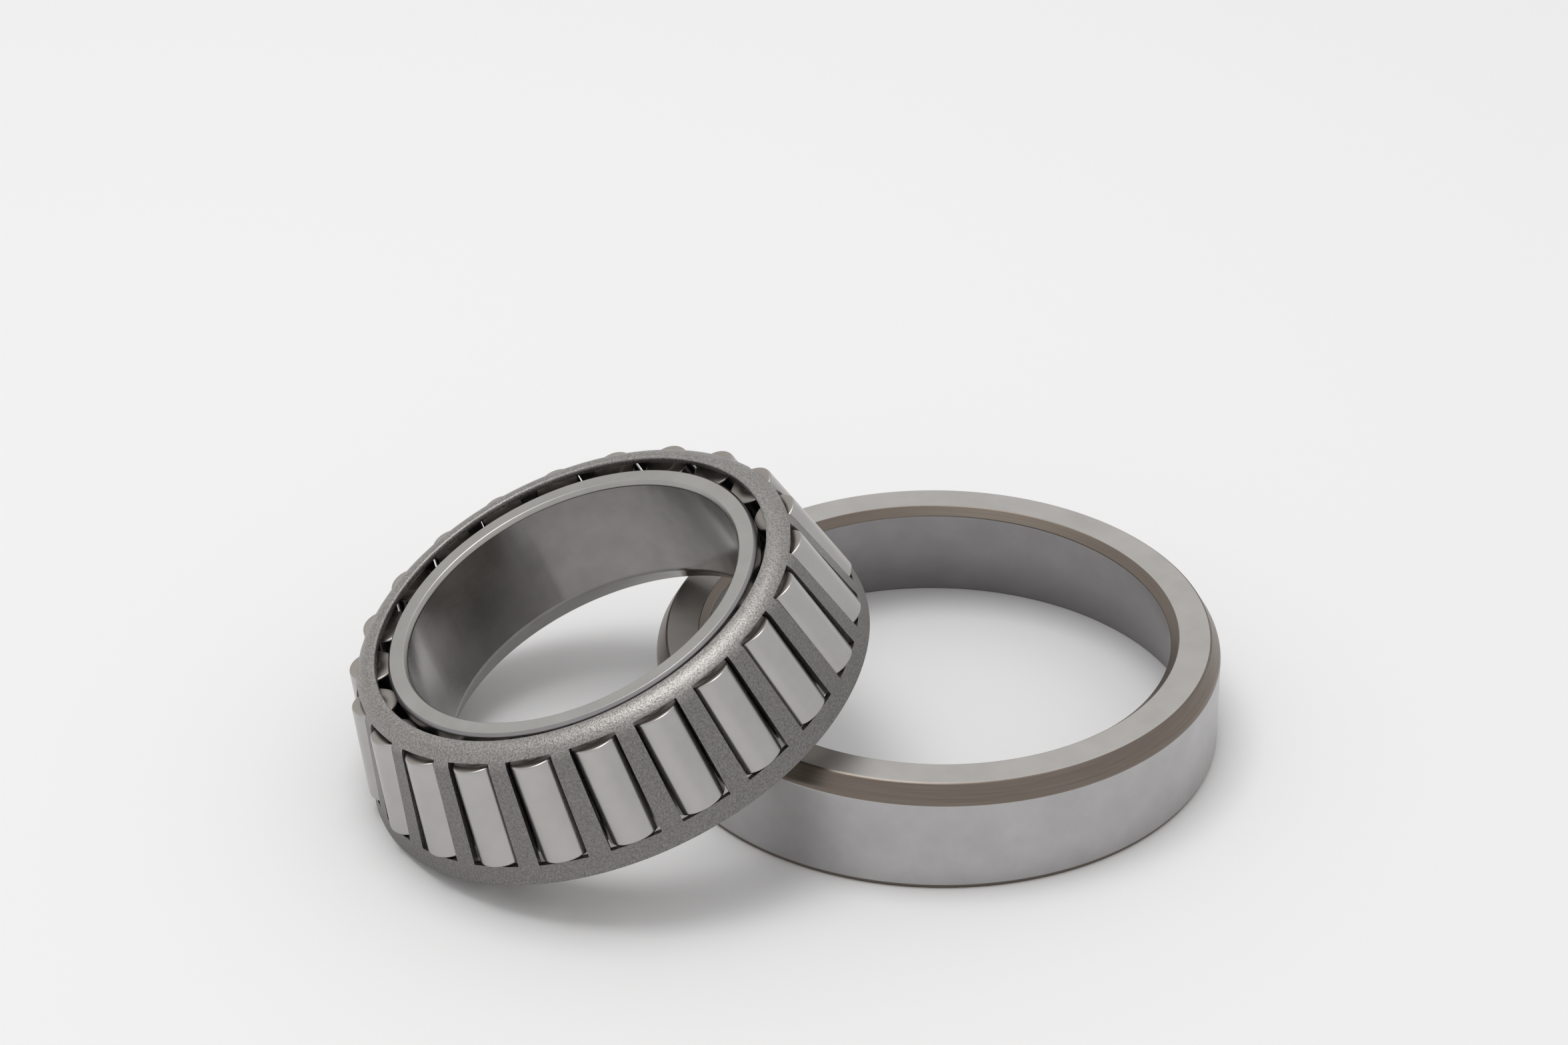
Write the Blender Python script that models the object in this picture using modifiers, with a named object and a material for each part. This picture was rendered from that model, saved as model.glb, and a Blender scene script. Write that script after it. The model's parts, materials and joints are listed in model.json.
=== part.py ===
"""Tapered roller bearing in two halves: the cup lies flat and the cone assembly leans on its rim.

The cone assembly is the inner ring, the pressed cage and the tapered rollers. Run this file with
blender --background --python part.py, or from Blender's text editor. Lengths are in metres, +Z is up,
and the origin is the middle of the footprint of the whole set, on the surface that it lies on.

The raceways and the rollers are cones that share one apex on the bearing's axis, so all of them follow
from the bore, the wall of the inner ring, the roller and one angle. In the cone assembly's own frame
the axis is +Z, z = 0 is the back face of the inner ring, and radii and heights are (r, z) pairs.
With the cup off, nothing presses the rollers on the raceway: they have dropped out into the windows of
the cage, which are narrower than the rollers and keep them in.
"""
import math

import bmesh
import bpy
from mathutils import Vector

MM = 0.001

# Inner ring
BORE_DIAMETER = 55.0 * MM
CONE_WIDTH = 23.0 * MM
CONE_WALL = 5.4 * MM                  # bore to raceway, at the foot of the back rib
RACEWAY_ANGLE = math.radians(12.4)    # inner raceway to the axis
BACK_RIB_WIDTH = 3.55 * MM            # at the foot of the rib
BACK_RIB_HEIGHT = 3.2 * MM            # above the foot of the raceway
BACK_RIB_CHAMFER = 0.9 * MM           # back face to the rib's outside
FRONT_RIB_WIDTH = 2.24 * MM
FRONT_RIB_HEIGHT = 1.6 * MM           # above the narrow end of the raceway
BACK_BORE_CHAMFER = (3.2 * MM, 4.2 * MM)      # radial, along the axis
FRONT_BORE_CHAMFER = (0.5 * MM, 0.7 * MM)
RIB_EDGE_CHAMFER = 0.4 * MM
FRONT_RIB_CLEARANCE = 0.8 * MM        # rollers' small ends to the front rib
GRINDING_RELIEF = 0.25 * MM           # depth of the groove at each end of the raceway
RELIEF_WIDTH = 0.8 * MM

# Rollers
ROLLER_COUNT = 22
ROLLER_DIAMETER = 8.4 * MM            # at the large end
ROLLER_CHAMFER = 0.35 * MM
ROLLER_DROP_SMALL_END = 0.85 * MM     # outwards from where the cup would hold it
ROLLER_DROP_LARGE_END = 0.45 * MM

# Cup (outer ring)
CUP_WIDTH = 18.5 * MM
CUP_SETBACK = 4.5 * MM                # cone's back face to the cup's mouth, when put together
CUP_FRONT_WALL = 3.261 * MM           # ring wall at the wide mouth
CUP_BACK_CHAMFER = (1.6 * MM, 2.8 * MM)       # radial, along the axis
CUP_FRONT_CHAMFER = (0.3 * MM, 0.6 * MM)
CUP_RACEWAY_CHAMFER = (1.3 * MM, 1.3 * MM)    # raceway to back face

# Cage
CAGE_THICKNESS = 1.2 * MM
CAGE_SINK = 0.35 * MM                 # seated rollers stand this far proud of the cage
CAGE_BOTTOM = 2.4 * MM                # height of its wide edge above the cone's back face
CAGE_BEND_RADIUS = 2.6 * MM           # inside the bend at the shoulder
CAGE_EDGE_CHAMFER = 0.2 * MM
FLANGE_CLEARANCE = 0.75 * MM          # highest corner of the rollers to the rolled flange
LIP_CLEARANCE = 1.8 * MM              # front rib to the edge of the rolled flange
WINDOW_SMALL_END_CLEARANCE = 0.2 * MM     # dropped rollers to the windows' inner edges
WINDOW_LARGE_END_CLEARANCE = 0.45 * MM
WINDOW_FRONT_CLEARANCE = 0.65 * MM
WINDOW_BACK_CLEARANCE = 0.3 * MM

# Clearances of touching pieces, and how the set lies
RUNNING_GAP = 0.3 * MM
REST_GAP = 0.3 * MM
LEAN_ANGLE = math.radians(20.8)

# Facets
CUP_STEPS = 96
FACETS_PER_PITCH = 4                  # inner ring and cage
ROLLER_STEPS = 20
OUTER_BEND_STEPS = 3
INNER_BEND_STEPS = 2
SHARP_ANGLE = math.radians(28)
MERGE_DISTANCE = 0.005 * MM
CUTTER_REACH = 2.0 * MM               # how far a window cutter passes the cage's wall


def derived_sizes():
    """Work out the cones that share one apex, and where the rollers and the cage sit between them."""
    size = {}
    foot = BORE_DIAMETER / 2 + CONE_WALL + RUNNING_GAP / math.cos(RACEWAY_ANGLE)
    half_taper = math.asin(ROLLER_DIAMETER / 2 * math.sin(RACEWAY_ANGLE) / foot)
    roller_angle = RACEWAY_ANGLE + half_taper
    size["half_taper"] = half_taper
    size["roller_angle"] = roller_angle
    size["cup_angle"] = RACEWAY_ANGLE + 2 * half_taper
    foot_z = BACK_RIB_WIDTH + RUNNING_GAP * math.cos(roller_angle)
    size["apex_z"] = foot_z + foot / math.tan(RACEWAY_ANGLE)
    # The roller fills the raceway between the ribs. Its two end faces are given by their distances
    # from the apex along its axis, and the small end's lowest corner is the one next to the front rib.
    corner_z = CONE_WIDTH - FRONT_RIB_WIDTH - FRONT_RIB_CLEARANCE
    fall = math.cos(roller_angle) + math.tan(half_taper) * math.sin(roller_angle)
    size["far_end"] = ROLLER_DIAMETER / 2 / math.tan(half_taper)
    size["near_end"] = (size["apex_z"] - corner_z) / fall
    size["roller_length"] = size["far_end"] - size["near_end"]
    size["cup_mouth_radius"] = (size["apex_z"] - CUP_SETBACK) * math.tan(size["cup_angle"])
    size["cup_radius"] = size["cup_mouth_radius"] + CUP_FRONT_WALL
    return size


SIZE = derived_sizes()


def roller_point(distance, outward):
    """Point (r, z) at a distance from the apex along the roller's axis and outward from that axis."""
    angle = SIZE["roller_angle"]
    radius = distance * math.sin(angle) + outward * math.cos(angle)
    height = SIZE["apex_z"] - distance * math.cos(angle) + outward * math.sin(angle)
    return radius, height


def roller_radius(distance):
    """Radius of the roller at a distance from the apex along its axis."""
    return distance * math.tan(SIZE["half_taper"])


def line_radius(angle, height, inset):
    """Radius at a height of the cone at an angle through the apex, moved inwards by an inset."""
    return (SIZE["apex_z"] - height) * math.tan(angle) - inset / math.cos(angle)


def remove_everything():
    """Start from an empty scene."""
    for old in list(bpy.data.objects):
        bpy.data.objects.remove(old, do_unlink=True)


def new_collection(name):
    """Make a collection in the scene."""
    collection = bpy.data.collections.new(name)
    bpy.context.scene.collection.children.link(collection)
    return collection


def steel(name, color, roughness):
    """Make a plain metal material."""
    material = bpy.data.materials.new(name)
    material.use_nodes = True
    shader = material.node_tree.nodes["Principled BSDF"]
    shader.inputs["Base Color"].default_value = (*color, 1.0)
    shader.inputs["Roughness"].default_value = roughness
    shader.inputs["Metallic"].default_value = 1.0
    return material


def settle(piece, material):
    """Keep the modified shape as the object's own mesh, shaded smooth between its sharp edges."""
    bpy.context.view_layer.update()
    graph = bpy.context.evaluated_depsgraph_get()
    mesh = bpy.data.meshes.new_from_object(piece.evaluated_get(graph))
    piece.modifiers.clear()
    piece.data = mesh
    mesh.name = piece.name
    mesh.shade_smooth()
    mesh.set_sharp_from_angle(angle=SHARP_ANGLE)
    mesh.materials.clear()
    mesh.materials.append(material)


def turned(name, profile, steps, collection, closed):
    """Turn a profile of (r, z) points about +Z. It runs down the outer side, top to bottom."""
    mesh = bpy.data.meshes.new(name)
    shape = bmesh.new()
    points = [shape.verts.new((radius, 0, height)) for radius, height in profile]
    for first, second in zip(points, points[1:]):
        shape.edges.new((first, second))
    if closed:
        shape.edges.new((points[-1], points[0]))
    shape.to_mesh(mesh)
    shape.free()
    piece = bpy.data.objects.new(name, mesh)
    collection.objects.link(piece)
    screw = piece.modifiers.new("Turn", "SCREW")
    screw.steps = steps
    screw.render_steps = steps
    screw.use_merge_vertices = True
    screw.merge_threshold = MERGE_DISTANCE
    return piece


def arc(centre, radius, start, end, steps):
    """Points on an arc in the (r, z) plane, with angles from +r towards +z."""
    points = []
    for step in range(steps + 1):
        angle = start + (end - start) * step / steps
        points.append((centre[0] + radius * math.cos(angle), centre[1] + radius * math.sin(angle)))
    return points


def cup_profile():
    """Outline of the cup as it lies: wide mouth down at z = 0, back face up."""
    outer = SIZE["cup_radius"]
    mouth = SIZE["cup_mouth_radius"]
    back_radial, back_axial = CUP_BACK_CHAMFER
    front_radial, front_axial = CUP_FRONT_CHAMFER
    throat_radial, throat_axial = CUP_RACEWAY_CHAMFER
    throat_z = CUP_WIDTH - throat_axial
    throat = mouth - throat_z * math.tan(SIZE["cup_angle"])
    return [
        (outer - back_radial, CUP_WIDTH),
        (outer, CUP_WIDTH - back_axial),
        (outer, front_axial),
        (outer - front_radial, 0),
        (mouth, 0),
        (throat, throat_z),
        (throat + throat_radial, CUP_WIDTH),
    ]


def inner_ring_profile():
    """Outline of the inner ring: front rib, raceway with its two reliefs, back rib and bore."""
    bore = BORE_DIAMETER / 2
    race = RACEWAY_ANGLE
    rib_z = CONE_WIDTH - FRONT_RIB_WIDTH
    race_top = line_radius(race, rib_z, RUNNING_GAP)
    front_rib = race_top + FRONT_RIB_HEIGHT
    # The back rib's face is square to the rollers' axes, so their large ends slide on it.
    root = roller_point(SIZE["far_end"] + RUNNING_GAP, -ROLLER_DIAMETER / 2 - RUNNING_GAP)
    rib_slope = math.tan(SIZE["roller_angle"])
    back_rib = root[0] + BACK_RIB_HEIGHT
    crest_z = root[1] + (back_rib - root[0]) * rib_slope
    relief_top = root[1] + RELIEF_WIDTH
    relief_low = rib_z - RELIEF_WIDTH
    back_radial, back_axial = BACK_BORE_CHAMFER
    front_radial, front_axial = FRONT_BORE_CHAMFER
    edge = RIB_EDGE_CHAMFER
    return [
        (front_rib - edge, CONE_WIDTH),
        (front_rib, CONE_WIDTH - edge),
        (front_rib, rib_z),
        (line_radius(race, rib_z, RUNNING_GAP + GRINDING_RELIEF), rib_z),
        (line_radius(race, relief_low, RUNNING_GAP + GRINDING_RELIEF), relief_low),
        (line_radius(race, relief_low - GRINDING_RELIEF, RUNNING_GAP), relief_low - GRINDING_RELIEF),
        (line_radius(race, relief_top + GRINDING_RELIEF, RUNNING_GAP), relief_top + GRINDING_RELIEF),
        (line_radius(race, relief_top, RUNNING_GAP + GRINDING_RELIEF), relief_top),
        (root[0] - GRINDING_RELIEF, root[1] - GRINDING_RELIEF * rib_slope),
        (back_rib - edge, crest_z - edge * rib_slope),
        (back_rib, crest_z - edge),
        (back_rib, BACK_RIB_CHAMFER),
        (back_rib - BACK_RIB_CHAMFER, 0),
        (bore + back_radial, 0),
        (bore, back_axial),
        (bore, CONE_WIDTH - front_axial),
        (bore + front_radial, CONE_WIDTH),
    ]


def front_rib_radius():
    """Radius of the inner ring's front rib."""
    return max(radius for radius, height in inner_ring_profile() if height > CONE_WIDTH / 2)


def back_edge_points():
    """The wide edges at the cone's back: the cage's lower edge, and the back rib's chamfer."""
    cage_edge = (line_radius(SIZE["cup_angle"], CAGE_BOTTOM, CAGE_SINK), CAGE_BOTTOM)
    rib = max(radius for radius, height in inner_ring_profile() if height < CONE_WIDTH / 2)
    return [cage_edge, (rib, BACK_RIB_CHAMFER), (rib - BACK_RIB_CHAMFER, 0)]


def roller_profile():
    """Outline of a roller about its own axis, its middle at z = 0 and its small end up."""
    half = SIZE["roller_length"] / 2
    small = roller_radius(SIZE["near_end"])
    large = roller_radius(SIZE["far_end"])
    edge = ROLLER_CHAMFER
    return [
        (0, half),
        (small - edge, half),
        (small, half - edge),
        (large, edge - half),
        (large - edge, -half),
        (0, -half),
    ]


def flange_height():
    """Height of the cage flange's underside, clear of the highest corner of the rollers."""
    corner = roller_point(SIZE["near_end"], roller_radius(SIZE["near_end"]))[1]
    return corner + FLANGE_CLEARANCE


def cage_profile():
    """Outline of the cage: rolled flange at the small end, bent shoulder, and the conical wall."""
    angle = SIZE["cup_angle"]
    under = flange_height()
    top = under + CAGE_THICKNESS
    lip = front_rib_radius() + LIP_CLEARANCE
    edge = CAGE_EDGE_CHAMFER
    inner_inset = CAGE_SINK + CAGE_THICKNESS
    outer_bend = CAGE_BEND_RADIUS + CAGE_THICKNESS
    # Both bends turn about one centre, a bend radius inside the wall and under the flange.
    centre_z = under - CAGE_BEND_RADIUS
    centre = (line_radius(angle, centre_z, inner_inset + CAGE_BEND_RADIUS), centre_z)
    outer_arc = arc(centre, outer_bend, math.pi / 2, angle, OUTER_BEND_STEPS)
    inner_arc = arc(centre, CAGE_BEND_RADIUS, angle, math.pi / 2, INNER_BEND_STEPS)
    bottom_outer = line_radius(angle, CAGE_BOTTOM, CAGE_SINK)
    bottom_inner = line_radius(angle, CAGE_BOTTOM, inner_inset)
    return (
        [(lip + edge, top)]
        + outer_arc
        + [(bottom_outer, CAGE_BOTTOM), (bottom_inner, CAGE_BOTTOM)]
        + inner_arc
        + [(lip + edge, under), (lip, under + edge), (lip, top - edge)]
    )


def roller_turn(number):
    """Angle of a roller round the axis. The first one is on the side that leans on the cup."""
    return 2 * math.pi * number / ROLLER_COUNT


def place_on_pitch(piece, turn, parent, near_drop=0.0, far_drop=0.0):
    """Put a piece, whose own +Z is a roller's axis, at one turn round the cone assembly.

    The drops move the small end and the large end outwards from the seated axis.
    """
    near_r, near_z = roller_point(SIZE["near_end"], near_drop)
    far_r, far_z = roller_point(SIZE["far_end"], far_drop)
    radius = (near_r + far_r) / 2
    slope = math.atan2(far_r - near_r, near_z - far_z)
    piece.parent = parent
    piece.location = (radius * math.cos(turn), radius * math.sin(turn), (near_z + far_z) / 2)
    piece.rotation_euler = (0, -slope, turn)


def window_half_width(distance, drop, clearance):
    """Half the width of a window whose inner edges clear the side of a dropped roller."""
    radius = roller_radius(distance)
    edge_height = radius - CAGE_SINK - CAGE_THICKNESS - drop
    return math.sqrt((radius + clearance)**2 - edge_height**2)


def window_cutter(name, collection):
    """Tapered block that cuts one window, in a roller's own frame: +X outwards, +Z to the small end."""
    top = SIZE["roller_length"] / 2 + WINDOW_FRONT_CLEARANCE
    bottom = -SIZE["roller_length"] / 2 - WINDOW_BACK_CLEARANCE
    small = roller_radius(SIZE["near_end"])
    large = roller_radius(SIZE["far_end"])
    low_x = small - CAGE_SINK - CAGE_THICKNESS - CUTTER_REACH
    high_x = large + CUTTER_REACH
    half_top = window_half_width(
        SIZE["near_end"], ROLLER_DROP_SMALL_END, WINDOW_SMALL_END_CLEARANCE
    )
    half_bottom = window_half_width(
        SIZE["far_end"], ROLLER_DROP_LARGE_END, WINDOW_LARGE_END_CLEARANCE
    )
    shape = bmesh.new()
    bmesh.ops.create_cube(shape, size=2.0)
    for corner in shape.verts:
        at_top = corner.co.z > 0
        half = half_top if at_top else half_bottom
        x = high_x if corner.co.x > 0 else low_x
        y = math.copysign(half, corner.co.y)
        corner.co = Vector((x, y, top if at_top else bottom))
    mesh = bpy.data.meshes.new(name)
    shape.to_mesh(mesh)
    shape.free()
    cutter = bpy.data.objects.new(name, mesh)
    cutter.hide_render = True
    cutter.display_type = "WIRE"
    collection.objects.link(cutter)
    return cutter


def make_cup(collection):
    """The outer ring, lying on its thin front face."""
    cup = turned("cup", cup_profile(), CUP_STEPS, collection, closed=True)
    settle(cup, steel("ground_ring_steel", (0.50, 0.50, 0.50), 0.30))
    return cup


def make_inner_ring(collection):
    """The inner ring, in the cone assembly's frame."""
    steps = ROLLER_COUNT * FACETS_PER_PITCH
    ring = turned("inner_ring", inner_ring_profile(), steps, collection, closed=True)
    settle(ring, steel("ground_cone_steel", (0.52, 0.52, 0.51), 0.28))
    return ring


def make_cage(collection, cutters, lean):
    """The pressed cage, with a window cut for each roller."""
    steps = ROLLER_COUNT * FACETS_PER_PITCH
    cage = turned("cage", cage_profile(), steps, collection, closed=True)
    cage.parent = lean
    for number in range(ROLLER_COUNT):
        cutter = window_cutter(f"window_cutter_{number + 1:02d}", cutters)
        place_on_pitch(cutter, roller_turn(number), lean)
    cut = cage.modifiers.new("Windows", "BOOLEAN")
    cut.operation = "DIFFERENCE"
    cut.solver = "EXACT"
    cut.operand_type = "COLLECTION"
    cut.collection = cutters
    settle(cage, steel("pressed_cage_steel", (0.22, 0.22, 0.22), 0.55))
    return cage


def make_rollers(collection, lean):
    """The set of tapered rollers. Each is its own object on its own axis, and all share one mesh."""
    first = turned("roller_01", roller_profile(), ROLLER_STEPS, collection, closed=False)
    settle(first, steel("polished_roller_steel", (0.62, 0.62, 0.62), 0.16))
    rollers = [first]
    for number in range(1, ROLLER_COUNT):
        roller = bpy.data.objects.new(f"roller_{number + 1:02d}", first.data)
        collection.objects.link(roller)
        rollers.append(roller)
    for number, roller in enumerate(rollers):
        turn = roller_turn(number)
        place_on_pitch(roller, turn, lean, ROLLER_DROP_SMALL_END, ROLLER_DROP_LARGE_END)
    return rollers


def lean_on_cup(lean):
    """Rest the cone assembly with its lower edge on the table and its back face on the cup's rim.

    The back face touches the rim of the cup's top face at the two points where that rim comes out from
    under the bore chamfer.
    """
    tilt = LEAN_ANGLE
    height = max(radius * math.sin(tilt) - z * math.cos(tilt) for radius, z in back_edge_points())
    rim_radius = SIZE["cup_radius"] - CUP_BACK_CHAMFER[0]
    chamfer_edge = BORE_DIAMETER / 2 + BACK_BORE_CHAMFER[0]
    rise = CUP_WIDTH - height
    along = (rise * math.cos(tilt) + REST_GAP) / math.sin(tilt)
    across_squared = chamfer_edge**2 + REST_GAP**2 - along**2 - rise**2
    distance = along + math.sqrt(rim_radius**2 - across_squared)
    lean.location = (-distance, 0, height)
    lean.rotation_euler = (0, -tilt, 0)


def centre_on_origin(base, pieces):
    """Move the whole set so that the middle of its box is over the origin."""
    bpy.context.view_layer.update()
    corners = [piece.matrix_world @ vertex.co for piece in pieces for vertex in piece.data.vertices]
    low = min(corner.x for corner in corners)
    high = max(corner.x for corner in corners)
    base.location.x -= (low + high) / 2
    bpy.context.view_layer.update()


def main():
    """Build the set and put each piece in its place."""
    remove_everything()
    collection = new_collection("tapered_roller_bearing")
    cutters = new_collection("cutters")
    base = bpy.data.objects.new("base", None)
    lean = bpy.data.objects.new("cone_axis", None)
    for empty in (base, lean):
        collection.objects.link(empty)
    lean.parent = base
    lean_on_cup(lean)
    cup = make_cup(collection)
    cup.parent = base
    ring = make_inner_ring(collection)
    ring.parent = lean
    cage = make_cage(collection, cutters, lean)
    rollers = make_rollers(collection, lean)
    centre_on_origin(base, [cup, ring, cage, *rollers])


main()
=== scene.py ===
# %% [markdown]
# # A tapered roller bearing in its two halves
# A tapered roller bearing comes apart by hand. One half is the cup, the plain outer ring. The other is
# the cone assembly: the inner ring, a pressed steel cage, and twenty-two tapered rollers.
#
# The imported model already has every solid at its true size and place, but with coarse facets. Each
# piece is made again here with a fine surface, rides on the same body, and hides the coarse one.

# %% Load the frame
import json
import math

import bmesh
import bpy
from mathutils import Matrix, Vector


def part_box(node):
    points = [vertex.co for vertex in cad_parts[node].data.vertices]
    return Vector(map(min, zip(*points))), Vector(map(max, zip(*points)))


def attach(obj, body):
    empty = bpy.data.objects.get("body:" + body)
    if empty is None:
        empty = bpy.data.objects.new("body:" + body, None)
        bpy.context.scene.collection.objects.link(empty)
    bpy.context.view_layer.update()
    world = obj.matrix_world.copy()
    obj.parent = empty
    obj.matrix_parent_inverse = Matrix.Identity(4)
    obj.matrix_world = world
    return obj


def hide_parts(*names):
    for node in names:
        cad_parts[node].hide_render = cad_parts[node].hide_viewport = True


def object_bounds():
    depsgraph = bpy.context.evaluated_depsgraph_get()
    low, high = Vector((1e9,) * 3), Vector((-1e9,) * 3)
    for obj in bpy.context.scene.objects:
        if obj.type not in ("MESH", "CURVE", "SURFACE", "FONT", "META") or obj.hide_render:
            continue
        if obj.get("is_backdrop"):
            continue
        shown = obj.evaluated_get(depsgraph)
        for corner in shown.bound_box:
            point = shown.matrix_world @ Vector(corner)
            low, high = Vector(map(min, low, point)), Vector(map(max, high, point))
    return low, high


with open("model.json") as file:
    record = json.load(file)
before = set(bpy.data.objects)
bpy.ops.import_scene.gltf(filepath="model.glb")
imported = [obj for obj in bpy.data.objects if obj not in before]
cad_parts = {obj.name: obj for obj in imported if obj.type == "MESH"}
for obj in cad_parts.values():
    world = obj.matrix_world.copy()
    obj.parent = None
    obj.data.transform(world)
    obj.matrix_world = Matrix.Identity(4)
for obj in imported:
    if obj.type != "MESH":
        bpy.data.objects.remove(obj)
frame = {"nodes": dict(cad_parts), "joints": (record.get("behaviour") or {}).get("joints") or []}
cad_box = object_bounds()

MM = 0.001
print("the set measures", [round((high - low) / MM, 1) for low, high in zip(*cad_box)], "mm")

# %% [markdown]
# ## The two axes
# The cup lies flat, so its axis is upright. The cone assembly leans on the cup's rim, and the joint that
# its cage turns on says where its axis is and which way it points. Every turned piece is modelled
# standing upright at the origin, where its measures are easy to read, and moved onto its axis at the end.
# A frame is a matrix whose third column is the axis, so one matrix does the whole move.

# %% Frames from the joints
joints = {joint["name"]: joint for joint in frame["joints"]}


def frame_on(joint, outward):
    """A frame with its origin on a joint, +Z along its axis, and +X as near to outward as it can be."""
    axis = Vector(joint["axis"]).normalized()
    side = (outward - outward.dot(axis) * axis).normalized()
    turned = Matrix((side, axis.cross(side), axis)).transposed().to_4x4()
    return Matrix.Translation(Vector(joint["pos_m"])) @ turned


cone_frame = frame_on(joints["cage_spin"], Vector((1, 0, 0)))
cup_low, cup_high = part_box("cup")
cup_frame = Matrix.Translation(((cup_low.x + cup_high.x) / 2, (cup_low.y + cup_high.y) / 2, cup_low.z))
lean = math.degrees(cone_frame.col[2].to_3d().angle(Vector((0, 0, 1))))
print("the cone assembly leans by", round(lean, 1), "degrees")

# %% Frames of the rollers
ROLLER_COUNT = sum(1 for node in frame["nodes"] if node.startswith("roller_"))
PITCH = 2 * math.pi / ROLLER_COUNT
roller_frames = []
for number in range(1, ROLLER_COUNT + 1):
    joint = joints[f"roller_{number:02d}_spin"]
    roller_frames.append(frame_on(joint, Vector(joint["pos_m"]) - cone_frame.translation))
roller_slope = roller_frames[0].col[2].to_3d().angle(cone_frame.col[2].to_3d())
print(ROLLER_COUNT, "rollers, each", round(math.degrees(roller_slope), 2), "degrees to the bearing's axis")

# %% [markdown]
# ## Drawing a section and spinning it
# Rings are turned on a lathe, so each is a section spun about an axis. The section is pulled out of a
# single point: a small plane is merged to one vertex, which is then extruded from corner to corner. The
# corners of a real ring are never quite sharp, so each is eased by a vertex bevel before the spin.
# Corners are (radius, height) pairs in millimetres.

# %% A section drawn corner by corner
SAME_PLACE = 0.01                  # a vertex this near a corner, in millimetres, is that corner's


def draw_section(name, corners, turn=0.0):
    """Start a piece as a closed section, standing on the radius at an angle round +Z."""
    places = [Vector((r * math.cos(turn), r * math.sin(turn), z)) * MM for r, z in corners]
    bpy.ops.object.select_all(action="DESELECT")
    bpy.ops.mesh.primitive_plane_add(size=MM, location=(0, 0, 0))
    piece = bpy.context.object
    piece.name = name
    piece.data.name = name
    bpy.ops.object.mode_set(mode="EDIT")
    bpy.ops.mesh.select_all(action="SELECT")
    bpy.ops.mesh.merge(type="CENTER")
    bpy.ops.transform.translate(value=places[0])
    for here, there in zip(places, places[1:]):
        bpy.ops.mesh.extrude_region_move(TRANSFORM_OT_translate={"value": there - here})
    bpy.ops.mesh.select_all(action="SELECT")
    bpy.ops.mesh.edge_face_add()
    return piece


def ease_corner(piece, corner, reach, turn=0.0, segments=4):
    """Round a corner of the section, starting a reach in millimetres to each side of it."""
    place = Vector((corner[0] * math.cos(turn), corner[0] * math.sin(turn), corner[1])) * MM
    bpy.ops.mesh.select_mode(type="VERT")
    bpy.ops.mesh.select_all(action="DESELECT")
    shape = bmesh.from_edit_mesh(piece.data)
    for vertex in shape.verts:
        vertex.select = (vertex.co - place).length < SAME_PLACE * MM
    shape.select_flush_mode()
    bmesh.update_edit_mesh(piece.data)
    bpy.ops.mesh.bevel(offset=reach * MM, segments=segments, affect="VERTICES")


# %% Spinning, and closing the seam
SPIN_STEPS = 16 * ROLLER_COUNT     # a whole number of steps to a roller's pitch, and a smooth outline
MERGE = 0.001 * MM                 # vertices nearer than this are welded


def spin_section(angle, steps):
    """Spin the section clockwise about +Z, weld what meets, and turn the faces outwards."""
    bpy.ops.mesh.select_all(action="SELECT")
    bpy.ops.mesh.delete(type="ONLY_FACE")
    bpy.ops.mesh.select_all(action="SELECT")
    bpy.ops.mesh.spin(steps=steps, angle=angle, center=(0, 0, 0), axis=(0, 0, 1))
    bpy.ops.mesh.select_all(action="SELECT")
    bpy.ops.mesh.remove_doubles(threshold=MERGE)
    bpy.ops.mesh.normals_make_consistent(inside=False)


# %% [markdown]
# ## Finishing a mesh
# Three things happen to every piece. It is shaded smooth except at real edges, and a weighted normal
# keeps its big flat faces flat right up to their eased corners. Then each vertex's place in the upright
# piece is stored as own_place, so that turning marks still run round the axis once the piece is tilted.
# Last, the piece is moved onto its axis, and the move is applied, so that its place is in its mesh.

# %% Shading, own place, and the final move
SMOOTH_ANGLE = math.radians(32)    # faces that meet more sharply than this keep their edge


def finish_mesh(piece):
    """Shade a piece and store where each vertex is in its own upright frame."""
    bpy.ops.object.mode_set(mode="OBJECT")
    bpy.ops.object.select_all(action="DESELECT")
    piece.select_set(True)
    bpy.context.view_layer.objects.active = piece
    bpy.ops.object.shade_smooth_by_angle(angle=SMOOTH_ANGLE)
    weight = piece.modifiers.new("Flat faces stay flat", "WEIGHTED_NORMAL")
    weight.keep_sharp = True
    bpy.ops.object.modifier_apply(modifier=weight.name)
    own_place = piece.data.attributes.new("own_place", "FLOAT_VECTOR", "POINT")
    for vertex in piece.data.vertices:
        own_place.data[vertex.index].vector = vertex.co
    print(piece.name, "has", len(piece.data.polygons), "faces")


def move_onto(piece, place):
    """Put an upright piece in its frame, with the move kept in its mesh."""
    bpy.ops.object.select_all(action="DESELECT")
    piece.select_set(True)
    bpy.context.view_layer.objects.active = piece
    piece.matrix_world = place
    bpy.ops.object.transform_apply(location=True, rotation=True, scale=True)


def stand_for(piece, node, body):
    """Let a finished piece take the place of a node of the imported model."""
    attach(piece, body)
    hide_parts(node)


# %% [markdown]
# ## The cup
# The cup lies on its wide mouth. Its outside is ground straight, its raceway is ground to a cone that
# narrows upwards, and its top is a broad ground face. The chamfers beside that face are left as they came
# from the lathe and the furnace, which is why they are browner. Every corner is eased by hand-stoning or
# tumbling, by a few tenths of a millimetre.

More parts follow.
